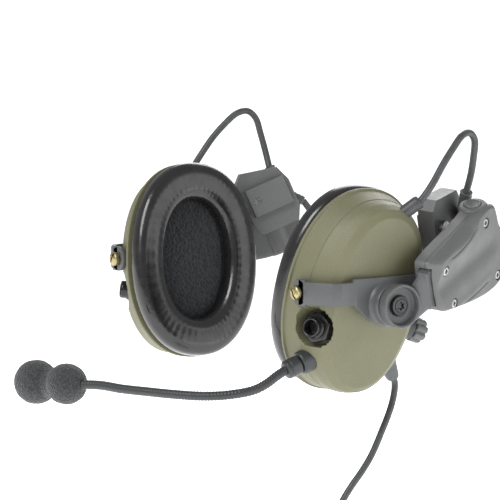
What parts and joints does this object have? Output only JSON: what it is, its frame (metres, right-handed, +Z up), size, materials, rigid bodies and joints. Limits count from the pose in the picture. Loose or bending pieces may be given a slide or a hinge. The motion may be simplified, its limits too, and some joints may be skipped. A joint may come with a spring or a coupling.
{
  "type": "helmet rail communication headset",
  "caption": "Over-ear communication headset carried by two sprung helmet rail arms, with a flexible boom microphone, a crossover cable behind the head and a coiled downlead.",
  "frame": {"origin": "midway between the two helmet rail clips, on the level of the two arm pivots", "axes": "+X towards the wearer's left ear cup, the side with the boom; -Y the way the wearer faces; +Z up"},
  "size_m": [0.2922, 0.2691, 0.338],
  "materials": {
    "olive_shell": "fine-grained moulded plastic",
    "arm_grey": "fine-grained moulded plastic",
    "dark_plastic": "satin",
    "yoke_polymer": "satin",
    "black_gloss": "gloss",
    "seal_vinyl": "glossy black vinyl over gel",
    "foam": "open-cell foam",
    "rubber": "matt",
    "cable_rubber": "matt",
    "brass": "worn",
    "steel": "satin",
    "speaker_steel": "satin",
    "board": "solder mask",
    "battery_wrap": "printed sleeve"
  },
  "bodies": {
    "headset_root": {"rail_clip_left": "arm_grey", "rail_clip_right": "arm_grey", "clip_lock_screws": "steel", "pivot_pins": "steel", "cable_boots": "rubber", "crossover_middle": "cable_rubber"},
    "left_arm": {"arm_inner_left": "arm_grey", "arm_cover_left": "arm_grey", "arm_screws_left": "steel", "torsion_spring_left": "steel", "button_spring_left": "steel", "crossover_loop_left": "cable_rubber"},
    "left_button": {"release_button_left": "arm_grey"},
    "left_slider": {"slider_left": "dark_plastic"},
    "left_yoke": {"yoke_left": "yoke_polymer", "swivel_screw_left": "black_gloss"},
    "left_cup": {"cup_base_left": "olive_shell", "cup_cap_left": "olive_shell", "ear_seal_left": "seal_vinyl", "foam_liner_left": "foam", "speaker_plate_left": "dark_plastic", "speaker_left": "speaker_steel", "ambient_nut_left": "black_gloss", "ambient_mic_left": "dark_plastic", "cable_sleeve_left": "rubber", "pivot_screws_left": "brass", "circuit_board": "board", "rotary_switch": "steel", "boom_socket": "dark_plastic", "downlead_boot": "rubber", "downlead": "cable_rubber", "downlead_coil": "cable_rubber", "coil_tie": "dark_plastic", "plug": "black_gloss"},
    "volume_knob": {"volume_knob": "arm_grey"},
    "boom": {"boom": "dark_plastic", "mic_capsule": "black_gloss", "windscreen": "foam"},
    "right_arm": {"arm_inner_right": "arm_grey", "arm_cover_right": "arm_grey", "arm_screws_right": "steel", "torsion_spring_right": "steel", "button_spring_right": "steel", "crossover_loop_right": "cable_rubber"},
    "right_button": {"release_button_right": "arm_grey"},
    "right_slider": {"slider_right": "dark_plastic"},
    "right_yoke": {"yoke_right": "yoke_polymer", "swivel_screw_right": "black_gloss"},
    "right_cup": {"cup_base_right": "olive_shell", "cup_cap_right": "olive_shell", "ear_seal_right": "seal_vinyl", "foam_liner_right": "foam", "speaker_plate_right": "dark_plastic", "speaker_right": "speaker_steel", "ambient_nut_right": "black_gloss", "ambient_mic_right": "dark_plastic", "cable_sleeve_right": "rubber", "pivot_screws_right": "brass", "battery_pair": "battery_wrap"}
  },
  "joints": [
    {"name": "left_arm_swing", "type": "hinge", "parent": "headset_root", "child": "left_arm", "pos_m": [0.1165, 0, 0], "axis": [0.2425, -0.3211, 0.9155], "range_deg": [0, 50], "stiffness_Nm_per_rad": 0.6, "springref_deg": -11.46, "deforming": ["torsion_spring_left", "crossover_loop_left"]},
    {"name": "left_button_press", "type": "slide", "parent": "left_arm", "child": "left_button", "axis": [0.2425, -0.3211, 0.9155], "range_m": [-0.0015, 0], "stiffness_N_per_m": 400, "deforming": ["button_spring_left"]},
    {"name": "left_slide", "type": "slide", "parent": "left_arm", "child": "left_slider", "axis": [0.3448, -0.8535, -0.3907], "range_m": [-0.002, 0.01], "deforming": ["crossover_loop_left"]},
    {"name": "left_swivel", "type": "hinge", "parent": "left_slider", "child": "left_yoke", "pos_m": [0.13, -0.0645, -0.052], "axis": [1, 0, 0], "range_deg": [-15, 15], "deforming": ["crossover_loop_left"]},
    {"name": "left_cup_tilt", "type": "hinge", "parent": "left_yoke", "child": "left_cup", "pos_m": [0.1, -0.0655, -0.045], "axis": [0, 1, 0], "range_deg": [-14, 4], "deforming": ["crossover_loop_left"]},
    {"name": "right_arm_swing", "type": "hinge", "parent": "headset_root", "child": "right_arm", "pos_m": [-0.1165, 0, 0], "axis": [0.2425, 0.3211, -0.9155], "range_deg": [0, 50], "stiffness_Nm_per_rad": 0.6, "springref_deg": -11.46, "deforming": ["torsion_spring_right", "crossover_loop_right"]},
    {"name": "right_button_press", "type": "slide", "parent": "right_arm", "child": "right_button", "axis": [-0.2425, -0.3211, 0.9155], "range_m": [-0.0015, 0], "stiffness_N_per_m": 400, "deforming": ["button_spring_right"]},
    {"name": "right_slide", "type": "slide", "parent": "right_arm", "child": "right_slider", "axis": [-0.3448, -0.8535, -0.3907], "range_m": [-0.002, 0.01], "deforming": ["crossover_loop_right"]},
    {"name": "right_swivel", "type": "hinge", "parent": "right_slider", "child": "right_yoke", "pos_m": [-0.13, -0.0645, -0.052], "axis": [1, 0, 0], "range_deg": [-15, 15], "deforming": ["crossover_loop_right"]},
    {"name": "right_cup_tilt", "type": "hinge", "parent": "right_yoke", "child": "right_cup", "pos_m": [-0.1, -0.0655, -0.045], "axis": [0, -1, 0], "range_deg": [-14, 4], "deforming": ["crossover_loop_right"]},
    {"name": "volume_knob_turn", "type": "hinge", "parent": "left_cup", "child": "volume_knob", "pos_m": [0.09429, -0.03123, -0.07057], "axis": [-0.065, 0.9453, -0.3196], "range_deg": [-135, 135]},
    {"name": "boom_swing", "type": "hinge", "parent": "left_cup", "child": "boom", "pos_m": [0.09383, -0.10062, -0.08535], "axis": [0.0702, 0.936, 0.3449], "range_deg": [-30, 120]}
  ]
}
